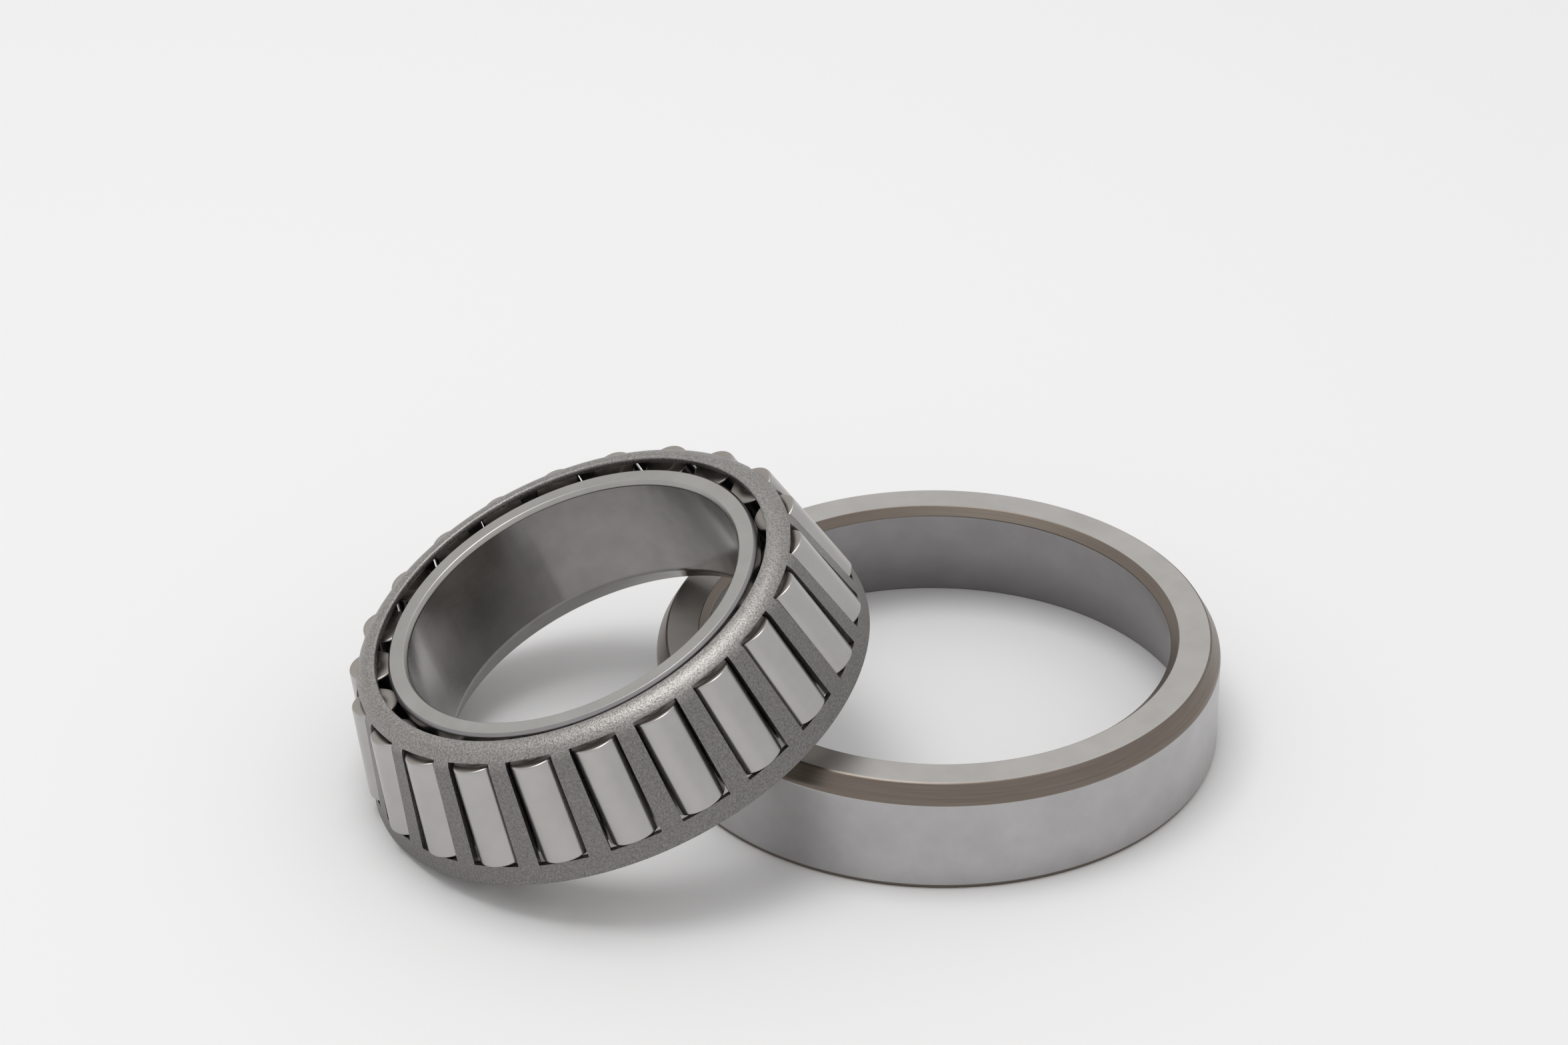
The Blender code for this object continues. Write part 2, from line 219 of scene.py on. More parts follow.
# %% Measures of the cup
CUP_WIDTH = 18.5
CUP_RADIUS = (cup_high.y - cup_low.y) / 2 / MM
CUP_BACK_CHAMFER = (1.6, 2.8)      # radial, along the axis
CUP_FRONT_CHAMFER = (0.35, 0.8)
CUP_THROAT_CHAMFER = 1.3
CUP_MOUTH_RADIUS = 41.739
CUP_ANGLE = math.radians(15.513)   # raceway to the axis
throat_z = CUP_WIDTH - CUP_THROAT_CHAMFER
throat = CUP_MOUTH_RADIUS - throat_z * math.tan(CUP_ANGLE)
cup_corners = [
    (throat + CUP_THROAT_CHAMFER, CUP_WIDTH),
    (CUP_RADIUS - CUP_BACK_CHAMFER[0], CUP_WIDTH),
    (CUP_RADIUS, CUP_WIDTH - CUP_BACK_CHAMFER[1]),
    (CUP_RADIUS, CUP_FRONT_CHAMFER[1]),
    (CUP_RADIUS - CUP_FRONT_CHAMFER[0], 0),
    (CUP_MOUTH_RADIUS, 0),
    (throat, throat_z),
]
CUP_EASES = [0.12, 0.35, 0.6, 0.12, 0.08, 0.2, 0.15]
print("cup", round(2 * CUP_RADIUS, 1), "mm across,", CUP_WIDTH, "mm wide")

# %% Turn the cup
cup = draw_section("cup_ring", cup_corners)
for corner, reach in zip(cup_corners, CUP_EASES):
    ease_corner(cup, corner, reach)
spin_section(2 * math.pi, SPIN_STEPS)
finish_mesh(cup)

# %% [markdown]
# ## The inner ring
# The inner ring is thickest at its back, where a rib square to the rollers takes their end thrust. Its
# raceway is a cone that narrows towards the front rib, with a shallow relief at each end, which lets the
# grinding wheel run out. The bore is ground for the shaft, with a large chamfer at the back and a small
# one at the front.

# %% Measures of the inner ring
CONE_WIDTH = 23.0
BORE_RADIUS = 27.5
FRONT_RIB_RADIUS = 30.78
FRONT_RIB_Z = 20.76                # underside of the front rib
RACEWAY_TOP = (29.41, 19.71)       # where the raceway meets the upper relief
RACEWAY_FOOT = (32.75, 4.53)
RELIEF = 0.25                      # each step of the grinding reliefs, inwards and along the axis
FOOT_RELIEF_DEPTH = 0.2            # the lower one is a little shallower
FOOT_RELIEF_WIDTH = 1.1            # from the raceway's foot to where the back rib rises
BACK_RIB_RADIUS = 36.19
BACK_RIB_CREST = 3.87              # where the rib's outside ends and its edge chamfer starts
BACK_RIB_EDGE_HEIGHT = 0.3         # height of that chamfer
BACK_RIB_CHAMFER = 0.9             # the one beside the back face
BACK_BORE_CHAMFER = (3.2, 4.2)     # radial, along the axis
FRONT_BORE_CHAMFER = (0.5, 0.7)
RIB_EDGE_CHAMFER = 0.5             # radial, on both ribs
ring_corners = [
    (BORE_RADIUS + FRONT_BORE_CHAMFER[0], CONE_WIDTH),
    (FRONT_RIB_RADIUS - RIB_EDGE_CHAMFER, CONE_WIDTH),
    (FRONT_RIB_RADIUS, CONE_WIDTH - RIB_EDGE_CHAMFER),
    (FRONT_RIB_RADIUS, FRONT_RIB_Z),
    (RACEWAY_TOP[0] - 2 * RELIEF, FRONT_RIB_Z),
    (RACEWAY_TOP[0] - RELIEF, RACEWAY_TOP[1] + RELIEF),
    RACEWAY_TOP,
    RACEWAY_FOOT,
    (RACEWAY_FOOT[0] - FOOT_RELIEF_DEPTH, RACEWAY_FOOT[1] - RELIEF),
    (RACEWAY_FOOT[0], RACEWAY_FOOT[1] - FOOT_RELIEF_WIDTH),
    (BACK_RIB_RADIUS - RIB_EDGE_CHAMFER, BACK_RIB_CREST + BACK_RIB_EDGE_HEIGHT),
    (BACK_RIB_RADIUS, BACK_RIB_CREST),
    (BACK_RIB_RADIUS, BACK_RIB_CHAMFER),
    (BACK_RIB_RADIUS - BACK_RIB_CHAMFER, 0),
    (BORE_RADIUS + BACK_BORE_CHAMFER[0], 0),
    (BORE_RADIUS, BACK_BORE_CHAMFER[1]),
    (BORE_RADIUS, CONE_WIDTH - FRONT_BORE_CHAMFER[1]),
]
RING_EASES = [0.15, 0.06, 0.15, 0.1, 0, 0, 0.2, 0.2, 0, 0, 0.15, 0.2, 0.25, 0.25, 0.3, 0.6, 0.2]

# %% Turn the inner ring
ring = draw_section("inner_ring_turned", ring_corners)
for corner, reach in zip(ring_corners, RING_EASES):
    if reach:
        ease_corner(ring, corner, reach)
spin_section(2 * math.pi, SPIN_STEPS)
finish_mesh(ring)

# %% [markdown]
# ## One pitch of the cage
# The cage is pressed from sheet into a cone with a rolled flange, and its windows are punched. The same
# window comes round twenty-two times, so one pitch is made and copied. The sheet's section is spun by
# one pitch, cut by the four planes of the punch with bisect, and the faces between the planes are
# deleted. Bridging the outer and inner edge loops then makes the punched walls of the window.

# %% Measures of the cage
SHEET = 1.2
CAGE_TOP = 23.72
CAGE_BOTTOM = 2.4
CAGE_LIP_RADIUS = 32.58
APEX_Z = 154.876                   # where the raceways' cones meet
CAGE_SINK = 0.35                   # rollers held by the cup would stand this far proud of the wall
BEND_RADIUS = 3.8                  # outside the shoulder


def wall_radius(height, inset):
    """Radius of the cage's conical wall at a height, moved in by an inset."""
    return (APEX_Z - height) * math.tan(CUP_ANGLE) - inset / math.cos(CUP_ANGLE)


bend_turn = math.pi / 2 - CUP_ANGLE
bend_share = math.tan(bend_turn / 2)
cage_corners = [
    (CAGE_LIP_RADIUS, CAGE_TOP),
    (wall_radius(CAGE_TOP, CAGE_SINK), CAGE_TOP),
    (wall_radius(CAGE_BOTTOM, CAGE_SINK), CAGE_BOTTOM),
    (wall_radius(CAGE_BOTTOM, CAGE_SINK + SHEET), CAGE_BOTTOM),
    (wall_radius(CAGE_TOP - SHEET, CAGE_SINK + SHEET), CAGE_TOP - SHEET),
    (CAGE_LIP_RADIUS, CAGE_TOP - SHEET),
]
CAGE_EASES = [0.3, BEND_RADIUS * bend_share, 0.2, 0.2, (BEND_RADIUS - SHEET) * bend_share, 0.3]
BEND_SEGMENTS = [4, 8, 3, 3, 5, 4]

# %% Draw and spin one pitch
cage = draw_section("cage_pressed", cage_corners, turn=PITCH / 2)
for corner, reach, segments in zip(cage_corners, CAGE_EASES, BEND_SEGMENTS):
    ease_corner(cage, corner, reach, turn=PITCH / 2, segments=segments)
spin_section(PITCH, SPIN_STEPS // ROLLER_COUNT)

# %% [markdown]
# ## Rollers that have dropped
# With the cup off, nothing holds the rollers against the inner ring. They drop outwards until the sides of
# their windows catch them, further at the small end than at the large one. The punch is square to a
# roller in its seat, and the width of a window follows from where its dropped roller has to be caught.

# %% Where the punch stands
ROLLER_LENGTH = 16.498             # along its own axis
ROLLER_SMALL = 3.75                # radius at the small end
ROLLER_LARGE = 4.2                 # radius at the large end
SEATED_ANGLE = math.radians(13.956)    # between a seated roller's axis and the bearing's
SEATED_MIDDLE = 146.336                # from the cones' apex to the middle of a roller
seat_radius = SEATED_MIDDLE * math.sin(SEATED_ANGLE)
seat_height = APEX_Z - SEATED_MIDDLE * math.cos(SEATED_ANGLE)
punch_frame = Matrix.Translation(Vector((seat_radius, 0, seat_height)) * MM)
punch_frame = punch_frame @ Matrix.Rotation(-SEATED_ANGLE, 4, "Y")
print("the punch stands", round(math.degrees(SEATED_ANGLE - roller_slope), 2), "degrees off a dropped roller")

# %% Cut the window with the four planes of the punch
DROP_SMALL_END = 0.85              # outwards from where the cup would hold the roller
DROP_LARGE_END = 0.45
CLEARANCE_SMALL_END = 0.2          # side of a dropped roller to the window's inner edge
CLEARANCE_LARGE_END = 0.45
CLEARANCE_TOP = 0.65               # end of a roller to the window's end
CLEARANCE_BOTTOM = 0.3
window_top = ROLLER_LENGTH / 2 + CLEARANCE_TOP
window_bottom = -ROLLER_LENGTH / 2 - CLEARANCE_BOTTOM


def window_half(radius, drop, clearance):
    """Half the width of a window whose inner edges clear the side of a dropped roller."""
    edge_height = radius - CAGE_SINK - SHEET - drop
    return math.sqrt((radius + clearance) ** 2 - edge_height**2)


half_top = window_half(ROLLER_SMALL, DROP_SMALL_END, CLEARANCE_SMALL_END)
half_bottom = window_half(ROLLER_LARGE, DROP_LARGE_END, CLEARANCE_LARGE_END)
punch_sides = []
for side in (-1, 1):
    upper = Vector((0, side * half_top, window_top)) * MM
    lower = Vector((0, side * half_bottom, window_bottom)) * MM
    across = (upper - lower).cross(Vector((1, 0, 0))).normalized() * side
    punch_sides.append((upper, across))
punch = punch_sides + [
    (Vector((0, 0, window_top)) * MM, Vector((0, 0, 1))),
    (Vector((0, 0, window_bottom)) * MM, Vector((0, 0, -1))),
]
for point, normal in punch:
    bpy.ops.mesh.select_all(action="SELECT")
    bpy.ops.mesh.bisect(
        plane_co=punch_frame @ point,
        plane_no=punch_frame.to_3x3() @ normal,
        threshold=MERGE,
    )
print("window", round(2 * half_top, 2), "to", round(2 * half_bottom, 2), "mm wide")

# %% Open the window and wall it
to_punch = punch_frame.inverted()
FACE_MARGIN = -0.01 * MM           # a face this far within the planes is inside the window
EDGE_MARGIN = 0.02 * MM            # an edge may lie this far outside them and still be its edge


def inside_punch(co, margin):
    """True for a place in the cage's frame that is within the punch's planes, give or take a margin."""
    seen = to_punch @ co
    return seen.x > 0 and all((seen - point).dot(normal) < margin for point, normal in punch)


bpy.ops.mesh.select_mode(type="FACE")
bpy.ops.mesh.select_all(action="DESELECT")
shape = bmesh.from_edit_mesh(cage.data)
for face in shape.faces:
    face.select = inside_punch(face.calc_center_median(), FACE_MARGIN)
bmesh.update_edit_mesh(cage.data)
bpy.ops.mesh.delete(type="FACE")
bpy.ops.mesh.select_mode(type="EDGE")
bpy.ops.mesh.select_all(action="DESELECT")
shape = bmesh.from_edit_mesh(cage.data)
for edge in shape.edges:
    edge.select = edge.is_boundary and all(inside_punch(v.co, EDGE_MARGIN) for v in edge.verts)
print("edges round the window, outside and in:", sum(edge.select for edge in shape.edges))
bmesh.update_edit_mesh(cage.data)
bpy.ops.mesh.bridge_edge_loops()

# %% [markdown]
# ## The whole cage
# The pitch is copied round and welded to its neighbours. A narrow bevel then breaks the punched edges,
# as the blasting does on a real cage: it is what catches the light as a thin pale line.

# %% Copy the pitch round, weld, and break the edges
EDGE_BREAK = 0.09                  # width of the broken edge
SHARP_ANGLE = math.radians(40)     # only edges sharper than this are broken
bpy.ops.mesh.select_all(action="SELECT")
for number in range(1, ROLLER_COUNT):
    bpy.ops.mesh.duplicate()
    bpy.ops.transform.rotate(
        value=-PITCH, orient_axis="Z", center_override=(0, 0, 0), orient_type="GLOBAL"
    )
bpy.ops.mesh.select_all(action="SELECT")
bpy.ops.mesh.remove_doubles(threshold=MERGE)
bpy.ops.mesh.normals_make_consistent(inside=False)
bpy.ops.object.mode_set(mode="OBJECT")
breaks = cage.modifiers.new("Broken edges", "BEVEL")
breaks.width = EDGE_BREAK * MM
breaks.segments = 2
breaks.limit_method = "ANGLE"
breaks.angle_limit = SHARP_ANGLE
bpy.ops.object.modifier_apply(modifier=breaks.name)
finish_mesh(cage)

# %% [markdown]
# ## A roller
# Each roller is a cone ground and superfinished all over its side. Its ends meet the side in a small
# radius, and each end has a shallow turned recess, so that only a ring of the large end slides on the
# rib. It is a cone primitive with its ends inset and sunk and its end edges bevelled.

# %% Model the first roller
ROLLER_SIDES = 96
END_RADIUS = 0.35                  # where an end meets the side
bpy.ops.object.select_all(action="DESELECT")
bpy.ops.mesh.primitive_cone_add(
    vertices=ROLLER_SIDES,
    radius1=ROLLER_LARGE * MM,
    radius2=ROLLER_SMALL * MM,
    depth=ROLLER_LENGTH * MM,
)
roller = bpy.context.object
roller.name = "tapered_roller_01"
bpy.ops.object.mode_set(mode="EDIT")
bpy.ops.mesh.select_mode(type="EDGE")
bpy.ops.mesh.select_all(action="DESELECT")
shape = bmesh.from_edit_mesh(roller.data)
for edge in shape.edges:
    edge.select = abs(edge.verts[0].co.z - edge.verts[1].co.z) < MERGE
bmesh.update_edit_mesh(roller.data)
bpy.ops.mesh.bevel(offset=END_RADIUS * MM, segments=5, affect="EDGES")

# %% Sink a recess in each end
RECESS_RIM = 2.0                   # the flat ring left round the recess
RECESS_WALL = 0.25
RECESS_DEPTH = 0.12
END_FACING = 0.999                 # an end's face looks along the axis by this much
for end in (-1, 1):
    bpy.ops.mesh.select_mode(type="FACE")
    bpy.ops.mesh.select_all(action="DESELECT")
    shape = bmesh.from_edit_mesh(roller.data)
    for face in shape.faces:
        face.select = face.normal.z * end > END_FACING
    bmesh.update_edit_mesh(roller.data)
    bpy.ops.mesh.inset(thickness=RECESS_RIM * MM)
    bpy.ops.mesh.inset(thickness=RECESS_WALL * MM)
    bpy.ops.transform.translate(value=(0, 0, -end * RECESS_DEPTH * MM))
finish_mesh(roller)

# %% [markdown]
# ## The finishes
# Every piece is steel, so the finishes differ only in how the surface was made. They share four tools:
# one turns a hex colour into the linear light that shaders work in, one adds a node with its settings
# and links, one starts a metal, and one raises a surface by a pattern. Marks from a lathe or a wheel run
# round the axis, so they are read from the radius and height in own_place.

# %% Colour and node tools
def linear(code):
    """Turn an sRGB hex colour into linear red, green, blue and alpha."""
    parts = [int(code[place:place + 2], 16) / 255 for place in (1, 3, 5)]
    return (*[c / 12.92 if c < 0.04045 else ((c + 0.055) / 1.055) ** 2.4 for c in parts], 1.0)


def add_node(material, kind, settings=None, inputs=None):
    """Add a node. An input is a value, or an output socket to link from."""
    tree = material.node_tree
    node = tree.nodes.new(kind)
    for name, value in (settings or {}).items():
        setattr(node, name, value)
    for name, value in (inputs or {}).items():
        if isinstance(value, bpy.types.NodeSocket):
            tree.links.new(value, node.inputs[name])
        else:
            node.inputs[name].default_value = value
    return node


def start_metal(name, roughness):
    """A new material with one metal shader. Returns the material and the shader."""
    material = bpy.data.materials.new(name)
    material.use_nodes = True
    shader = material.node_tree.nodes["Principled BSDF"]
    shader.inputs["Metallic"].default_value = 1.0
    shader.inputs["Roughness"].default_value = roughness
    return material, shader


def bump(material, shader, height, depth):
    """Raise the surface by a pattern, to a depth in millimetres."""
    raised = add_node(
        material, "ShaderNodeBump", inputs={"Height": height, "Distance": depth * MM, "Strength": 1.0}
    )
    material.node_tree.links.new(raised.outputs["Normal"], shader.inputs["Normal"])


# %% Reading the place on a turned piece
def own_place(material):
    """The place in the piece's own upright frame, its radius, and its height."""
    place = add_node(material, "ShaderNodeAttribute", {"attribute_name": "own_place"}).outputs["Vector"]
    parts = add_node(material, "ShaderNodeSeparateXYZ", inputs={0: place})
    across = add_node(material, "ShaderNodeCombineXYZ", inputs={0: parts.outputs[0], 1: parts.outputs[1]})
    radius = add_node(
        material, "ShaderNodeVectorMath", {"operation": "LENGTH"}, {0: across.outputs[0]}
    )
    return place, radius.outputs["Value"], parts.outputs[2]


def turning_marks(material, spacing, run):
    """Fine lines round the axis: a spacing apart, each fading over a run, both in millimetres."""
    place, radius, height = own_place(material)
    line = add_node(material, "ShaderNodeMath", {"operation": "ADD"}, {0: radius, 1: height})
    slow = add_node(
        material, "ShaderNodeVectorMath", {"operation": "SCALE"}, {0: place, "Scale": spacing / run}
    )
    marks = add_node(
        material,
        "ShaderNodeTexNoise",
        {"noise_dimensions": "4D"},
        {
            "Vector": slow.outputs[0],
            "W": line.outputs[0],
            "Scale": 1 / (spacing * MM),
            "Detail": 2.0,
            "Roughness": 0.6,
        },
    )
    return marks.outputs["Fac"]


def grain(material, size):
    """Even speckle of a grain size in millimetres."""
    place = add_node(material, "ShaderNodeAttribute", {"attribute_name": "own_place"}).outputs["Vector"]
    speckle = add_node(
        material,
        "ShaderNodeTexNoise",
        inputs={"Vector": place, "Scale": 1 / (size * MM), "Detail": 3.0, "Roughness": 0.6},
    )
    return speckle.outputs["Fac"]


def blend_colours(material, factor, dark, light, low=0.3, high=0.7):
    """Colour that runs from dark to light as a pattern's value runs from low to high."""
    spread = add_node(
        material, "ShaderNodeMapRange", inputs={"Value": factor, "From Min": low, "From Max": high}
    )
    mix = add_node(
        material,
        "ShaderNodeMix",
        {"data_type": "RGBA"},
        {0: spread.outputs[0], 6: linear(dark), 7: linear(light)},
    )
    return mix.outputs[2]


# %% [markdown]
# ## Ground steel
# The faces, the cup's outside, the raceways and the bore are ground with a fine wheel. Steel ground like
# this is a soft mirror: it blurs what it reflects, and its faint lines pull highlights out across them.
# The real lines are about 0.03 mm apart, too fine to show, so they are drawn 0.2 mm apart. Slow clouds of
# slightly different brightness stand for the thin film of oil that a new bearing wears.

# %% Ground faces, outside and raceways
CLOUD_SIZE = 7.0                   # millimetres, as all the sizes of patterns are
LINE_SPACING = 0.2
LINE_RUN = 14.0


def ground_steel(name, dark, light, roughness, line_depth):
    """Steel ground with a fine wheel: a blurred mirror with faint lines round the axis."""
    material, shader = start_metal(name, roughness)
    colour = blend_colours(material, grain(material, CLOUD_SIZE), dark, light)
    material.node_tree.links.new(colour, shader.inputs["Base Color"])
    bump(material, shader, turning_marks(material, LINE_SPACING, LINE_RUN), line_depth)
    return material


face_steel = ground_steel("ground_face_steel", "#B8B5B1", "#C2BFBB", 0.36, 0.006)
outside_steel = ground_steel("ground_outside_steel", "#ABAAAA", "#B5B4B4", 0.32, 0.005)
ring_face_steel = ground_steel("ground_ring_face_steel", "#A7A5A1", "#B1AFAB", 0.36, 0.006)
raceway_steel = ground_steel("honed_raceway_steel", "#918F90", "#9A9899", 0.30, 0.004)

# %% [markdown]
# ## The bore
# A ground bore is never quite round. Slow waves a few millimetres long run round it, too shallow to measure
# by hand, yet they break what the bore reflects into soft bands that run along the axis. They are drawn
# deeper here, so that the bands show.

# %% Ground bore
WAVE_LENGTH = 3.5
WAVE_DEPTH = 0.05
LINE_SHARE = 0.2                   # the lines' depth, as a share of the waves'


def waved_bore():
    """Ground steel whose lines lie over slow waves round the axis."""
    material, shader = start_metal("ground_bore_steel", 0.21)
    colour = blend_colours(material, grain(material, CLOUD_SIZE), "#959391", "#A2A09D")
    material.node_tree.links.new(colour, shader.inputs["Base Color"])
    place = own_place(material)[0]
    around = add_node(
        material, "ShaderNodeVectorMath", {"operation": "MULTIPLY"}, {0: place, 1: (1.0, 1.0, 0.0)}
    )
    waves = add_node(
        material,
        "ShaderNodeTexNoise",
        inputs={"Vector": around.outputs[0], "Scale": 1 / (WAVE_LENGTH * MM), "Detail": 1.0},
    )
    lines = turning_marks(material, LINE_SPACING, LINE_RUN)
    surface = add_node(
        material,
        "ShaderNodeMath",
        {"operation": "MULTIPLY_ADD"},
        {0: lines, 1: LINE_SHARE, 2: waves.outputs["Fac"]},
    )
    bump(material, shader, surface.outputs[0], WAVE_DEPTH)
    return material


bore_steel = waved_bore()

# %% [markdown]
# ## Turned chamfers
# The cup's chamfers were turned before hardening and never ground, so they keep a thin brown oxide from
# the furnace, with lathe rings in it. That gives the eye a warm, duller band beside each bright face. The
# ends of the rollers are turned too, but cleaner. The rings are drawn 0.12 mm apart, a little coarser
# than a fine tool leaves them.

# %% Turned chamfers and roller ends
RING_SPACING = 0.12
RING_RUN = 10.0
RING_DEPTH = 0.004


def turned_steel(name, dark, light, roughness):
    """Hardened steel as turned: rings round the axis under a thin brown oxide."""
    material, shader = start_metal(name, roughness)
    marks = turning_marks(material, RING_SPACING, RING_RUN)
    colour = blend_colours(material, marks, dark, light, low=0.2, high=0.8)
    material.node_tree.links.new(colour, shader.inputs["Base Color"])
    bump(material, shader, marks, RING_DEPTH)
    return material


chamfer_steel = turned_steel("turned_chamfer_steel", "#716860", "#81786F", 0.36)
roller_end_steel = turned_steel("turned_roller_end_steel", "#97918B", "#ACA6A0", 0.36)

# %% [markdown]
# ## The cage's finish
# The pressed cage is tumbled and blasted, which leaves an even matt grey of tiny dents. Each dent is a
# small mirror, so where the light comes straight back the surface sparkles instead of shining. The real
# dents are about 0.1 mm across, and are drawn at 0.28 mm so that they show. The bend at the shoulder is
# painted paler than the wall, a painted highlight where the lamp overhead falls on it.

# %% Blasted cage steel
DENT_SIZE = 0.28
DENT_DEPTH = 0.07
HIGHLIGHT_LOW = 20.6                 # height on the cage where the painted highlight begins
HIGHLIGHT_HIGH = 22.8                # and where it is complete


def blasted_steel():
    """Sheet steel blasted matt: fine dents that sparkle where they face the light, and a painted highlight on
    the shoulder.
    """
    material, shader = start_metal("blasted_cage_steel", 0.40)
    dents = grain(material, DENT_SIZE)
    wall = blend_colours(material, dents, "#6A6866", "#8E8C8A", low=0.32, high=0.68)
    # Painted highlight: the shoulder's colours are paler than the wall's.
    shoulder_highlight = blend_colours(material, dents, "#7F7C79", "#ABA8A5", low=0.36, high=0.64)
    height = own_place(material)[2]
    # The painted highlight fades in over the bend, going by height.
    highlight_share = add_node(
        material,
        "ShaderNodeMapRange",
        {"interpolation_type": "SMOOTHSTEP"},
        {"Value": height, "From Min": HIGHLIGHT_LOW * MM, "From Max": HIGHLIGHT_HIGH * MM},
    )
    colour = add_node(
        material,
        "ShaderNodeMix",
        {"data_type": "RGBA"},
        {0: highlight_share.outputs[0], 6: wall, 7: shoulder_highlight},
    )
    material.node_tree.links.new(colour.outputs[2], shader.inputs["Base Color"])
    bump(material, shader, dents, DENT_DEPTH)
    return material


cage_steel = blasted_steel()

# %% [markdown]
# ## The rollers' finish
# The rollers are superfinished by stones that swing along them while they turn. The side is close to a
# mirror, only a little blurred, which gives the long clean bands of light along each roller.

# %% Superfinished roller steel
roller_steel = ground_steel("superfinished_roller_steel", "#AEACAA", "#B7B5B3", 0.27, 0.0012)
print(len(bpy.data.materials), "materials in the file, the packed model's included")

# %% [markdown]
# ## Which face gets which finish
# A face's place and slope in the upright piece say how it was made. A chooser for each piece gives the
# number of a finish from the radius and height of the face's middle, in millimetres, and from how far the
# face looks up: 1 is straight up, 0 sideways, -1 straight down.

# %% Painting by place
def paint(piece, finishes, choose):
    """Give each face one of a piece's finishes."""
    piece.data.materials.clear()
    for finish in finishes:
        piece.data.materials.append(finish)
    for face in piece.data.polygons:
        radius = math.hypot(face.center.x, face.center.y) / MM
        face.material_index = choose(radius, face.center.z / MM, face.normal.z)


# %% Choosers for the cup, the ring and the rollers
FACE_UP = 0.97         # an end face of a ring looks up or down by more than this
WALL_UP = 0.2          # the cup's outside, by less than this
RACEWAY_DOWN = -0.35   # the cup's raceway looks down, but never as far as this
TOP_EASE_UP = 0.9      # an eased edge that looks up by more than this belongs to the face above it
ROLLER_END_UP = 0.8    # a roller's end looks along the axis by more than this
OUTSIDE_MARGIN = 0.02  # how far inside the cup's outline a face still counts as the outside
BORE_MARGIN = 0.3      # how far outside the bore's line a face still counts as the bore
WALL_MARGIN = 1        # how far outside the bore a face has to be to count as the raceway's side


def cup_finish(radius, height, up):
    """0 face, 1 outside, 2 raceway, and 3 for the chamfers and eased corners between them."""
    if abs(up) > FACE_UP:
        return 0
    if radius > CUP_RADIUS - OUTSIDE_MARGIN and abs(up) < WALL_UP:
        return 1
    if radius < CUP_MOUTH_RADIUS and RACEWAY_DOWN < up < 0 and height < throat_z:
        return 2
    return 3


def ring_finish(radius, height, up):
    """1 bore and its back chamfer, 2 raceway and front rib, and 0 for the faces and what is left."""
    if abs(up) > FACE_UP:
        return 0
    chamfer_share = max(0.0, 1 - height / BACK_BORE_CHAMFER[1])
    inside = BORE_RADIUS + BACK_BORE_CHAMFER[0] * chamfer_share + BORE_MARGIN
    if radius < inside and height < CONE_WIDTH - FRONT_BORE_CHAMFER[1]:
        return 1
    if radius > BORE_RADIUS + WALL_MARGIN and RACEWAY_FOOT[1] < height and up < TOP_EASE_UP:
        return 2
    return 0


def roller_finish(radius, height, up):
    """0 side, 1 end."""
    return 1 if abs(up) > ROLLER_END_UP else 0


# %% Paint the pieces
paint(cup, [face_steel, outside_steel, raceway_steel, chamfer_steel], cup_finish)
paint(ring, [ring_face_steel, bore_steel, raceway_steel], ring_finish)
paint(cage, [cage_steel], lambda radius, height, up: 0)
paint(roller, [roller_steel, roller_end_steel], roller_finish)

# %% [markdown]
# ## Putting the set together
# The cup, the ring and the cage are moved onto their axes. The roller is copied, each copy with a mesh of
# its own, and every roller goes onto the axis of its own joint.

# %% Move the turned pieces onto their axes
move_onto(cup, cup_frame)
stand_for(cup, "cup", "cup")
move_onto(ring, cone_frame)
stand_for(ring, "inner_ring", "inner_ring")
move_onto(cage, cone_frame)
stand_for(cage, "cage", "cage")

# %% Copy the roller onto every axis
rollers = [roller]
for number in range(2, ROLLER_COUNT + 1):
    copy = roller.copy()
    copy.data = roller.data.copy()
    copy.name = f"tapered_roller_{number:02d}"
    bpy.context.scene.collection.objects.link(copy)
    rollers.append(copy)
for number, (piece, place) in enumerate(zip(rollers, roller_frames), start=1):
    move_onto(piece, place)
    node = f"roller_{number:02d}"
    stand_for(piece, node, node)
print(len(rollers), "rollers of", len(roller.data.polygons), "faces each")

# %% [markdown]
# ## Floor and light
# Metal shows its surroundings more than itself, so the light is kept plain: an even pale sky, one large
# soft lamp overhead, and a matt white floor that fills the shadows from below.

# %% A pale floor
FLOOR_SIZE = 6.0                   # metres
PAPER_ROUGHNESS = 0.75
bpy.ops.object.select_all(action="DESELECT")
bpy.ops.mesh.primitive_plane_add(size=FLOOR_SIZE, location=(0, 0, 0))
floor = bpy.context.object
floor.name = "floor"
paper = bpy.data.materials.new("white_paper")
paper.use_nodes = True
paper_shader = paper.node_tree.nodes["Principled BSDF"]
paper_shader.inputs["Base Color"].default_value = linear("#E8E7E7")
paper_shader.inputs["Roughness"].default_value = PAPER_ROUGHNESS
floor.data.materials.append(paper)
floor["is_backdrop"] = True

# %% An even sky
SKY_STRENGTH = 0.84
world = bpy.data.worlds.new("pale_sky")
bpy.context.scene.world = world
world.use_nodes = True
sky = world.node_tree.nodes["Background"]
sky.inputs["Color"].default_value = linear("#F5F5F5")
sky.inputs["Strength"].default_value = SKY_STRENGTH
bpy.context.scene.view_settings.view_transform = "Standard"

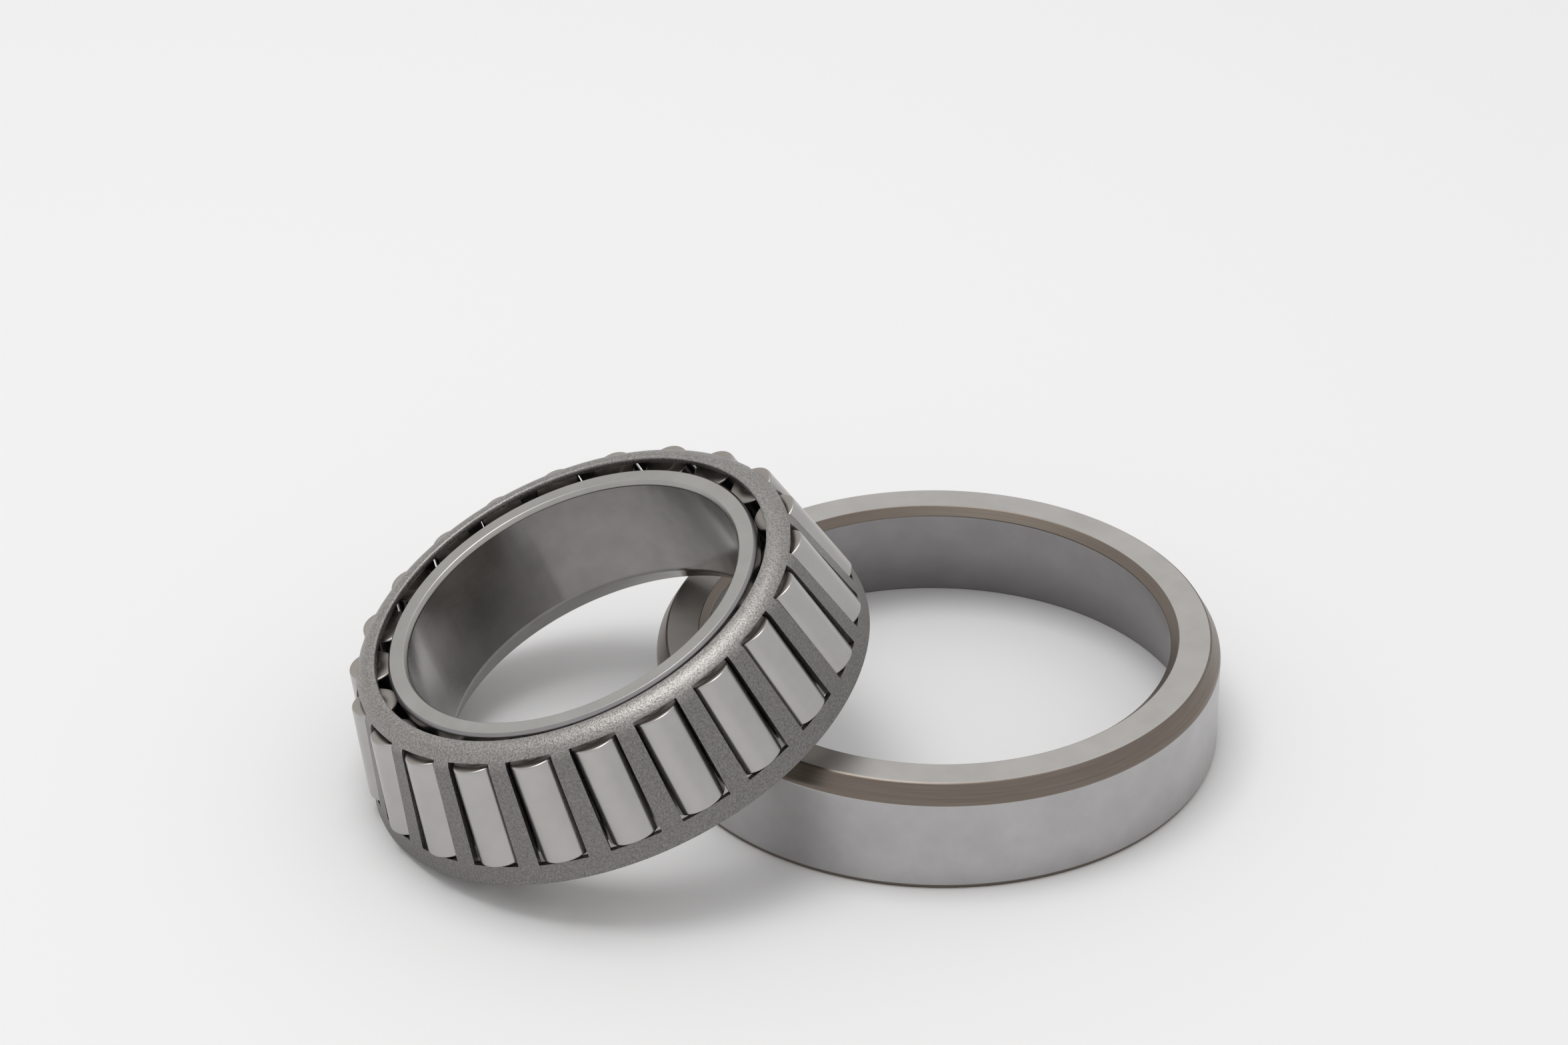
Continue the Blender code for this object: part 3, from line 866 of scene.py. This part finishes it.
# %% One soft lamp
LAMP_PLACE = Vector((-0.15, 0.10, 1.1))
LAMP_SIZE = 0.6                    # metres
LAMP_POWER = 4.6                   # watts
lamp = bpy.data.lights.new("overhead_softbox", "AREA")
lamp.size = LAMP_SIZE
lamp.energy = LAMP_POWER
softbox = bpy.data.objects.new("overhead_softbox", lamp)
softbox.location = LAMP_PLACE
softbox.rotation_euler = (-LAMP_PLACE).to_track_quat("-Z", "Y").to_euler()
bpy.context.scene.collection.objects.link(softbox)

# %% [markdown]
# ## Camera
# A long lens from about seventy centimetres away, looking down at the set by some thirty degrees.

# %% Place the camera
CAMERA_TARGET = Vector((0.0043, 0.0189, 0.0305))
CAMERA_DISTANCE = 0.680            # metres
CAMERA_HEADING = math.radians(14.48)
CAMERA_DOWN = math.radians(31.13)
CAMERA_ROLL = math.radians(0.40)
SENSOR_WIDTH = 36.0                # millimetres
FOCAL_LENGTH = 97.156              # millimetres
FAR_CLIP = 20.0                    # metres
camera = bpy.data.objects.new("camera", bpy.data.cameras.new("camera"))
bpy.context.scene.collection.objects.link(camera)
camera.data.sensor_width = SENSOR_WIDTH
camera.data.lens = FOCAL_LENGTH
camera.data.clip_end = FAR_CLIP
look = (
    Matrix.Rotation(-CAMERA_HEADING, 4, "Z")
    @ Matrix.Rotation(math.pi / 2 - CAMERA_DOWN, 4, "X")
    @ Matrix.Rotation(-CAMERA_ROLL, 4, "Z")
)
back = look.col[2].to_3d()
camera.matrix_world = Matrix.Translation(CAMERA_TARGET + CAMERA_DISTANCE * back) @ look
bpy.context.scene.camera = camera
print("camera at", [round(c, 4) for c in camera.matrix_world.translation])

# %% [markdown]
# The finished set has to fill the same box as the imported model. The last two lines printed say how far
# the low and the high corner of the box have moved.

# %% Print how far the box has moved
new_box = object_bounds()
for cad_corner, new_corner, end in zip(cad_box, new_box, ("low", "high")):
    moved = [round((new - cad) / MM, 3) for cad, new in zip(cad_corner, new_corner)]
    print(end, "corner moved by", moved, "mm")
